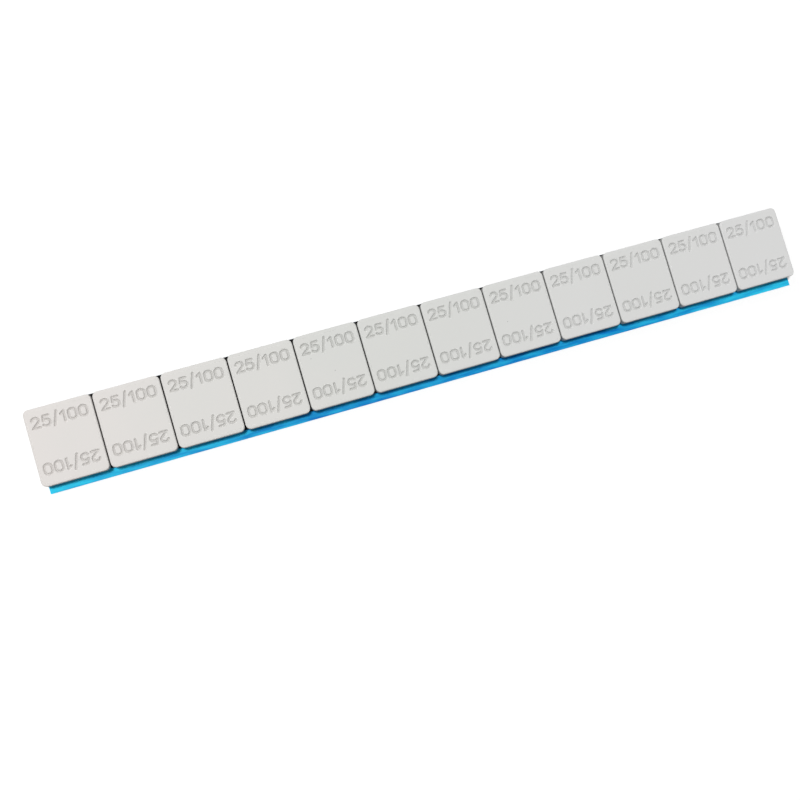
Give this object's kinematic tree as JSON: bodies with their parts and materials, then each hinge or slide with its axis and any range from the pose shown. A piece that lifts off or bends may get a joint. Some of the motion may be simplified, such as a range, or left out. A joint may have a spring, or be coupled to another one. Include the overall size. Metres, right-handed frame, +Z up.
{
  "type": "adhesive wheel balance weight",
  "caption": "Stick-on wheel balance weight: a row of coated steel weights on black foam tape, with a blue release liner whose pull edge stands out along one side.",
  "frame": {"origin": "middle of the bounding box's bottom face, on the underside of the release liner", "axes": "+X along the strip, from its first weight to its last; +Y across it, away from the liner's pull edge; +Z up, out of the marked faces of the weights"},
  "size_m": [0.2002, 0.0212, 0.0041],
  "materials": {
    "coated_steel": "light grey powder coat, satin, slightly uneven",
    "black_foam": "matt closed-cell foam with cut edges",
    "blue_film": "thin polyethylene film, soft gloss"
  },
  "bodies": {
    "root": {"weight_01": "coated_steel", "weight_02": "coated_steel", "weight_03": "coated_steel", "weight_04": "coated_steel", "weight_05": "coated_steel", "weight_06": "coated_steel", "weight_07": "coated_steel", "weight_08": "coated_steel", "weight_09": "coated_steel", "weight_10": "coated_steel", "weight_11": "coated_steel", "weight_12": "coated_steel", "foam_tape": "black_foam", "release_liner": "blue_film"}
  },
  "joints": []
}
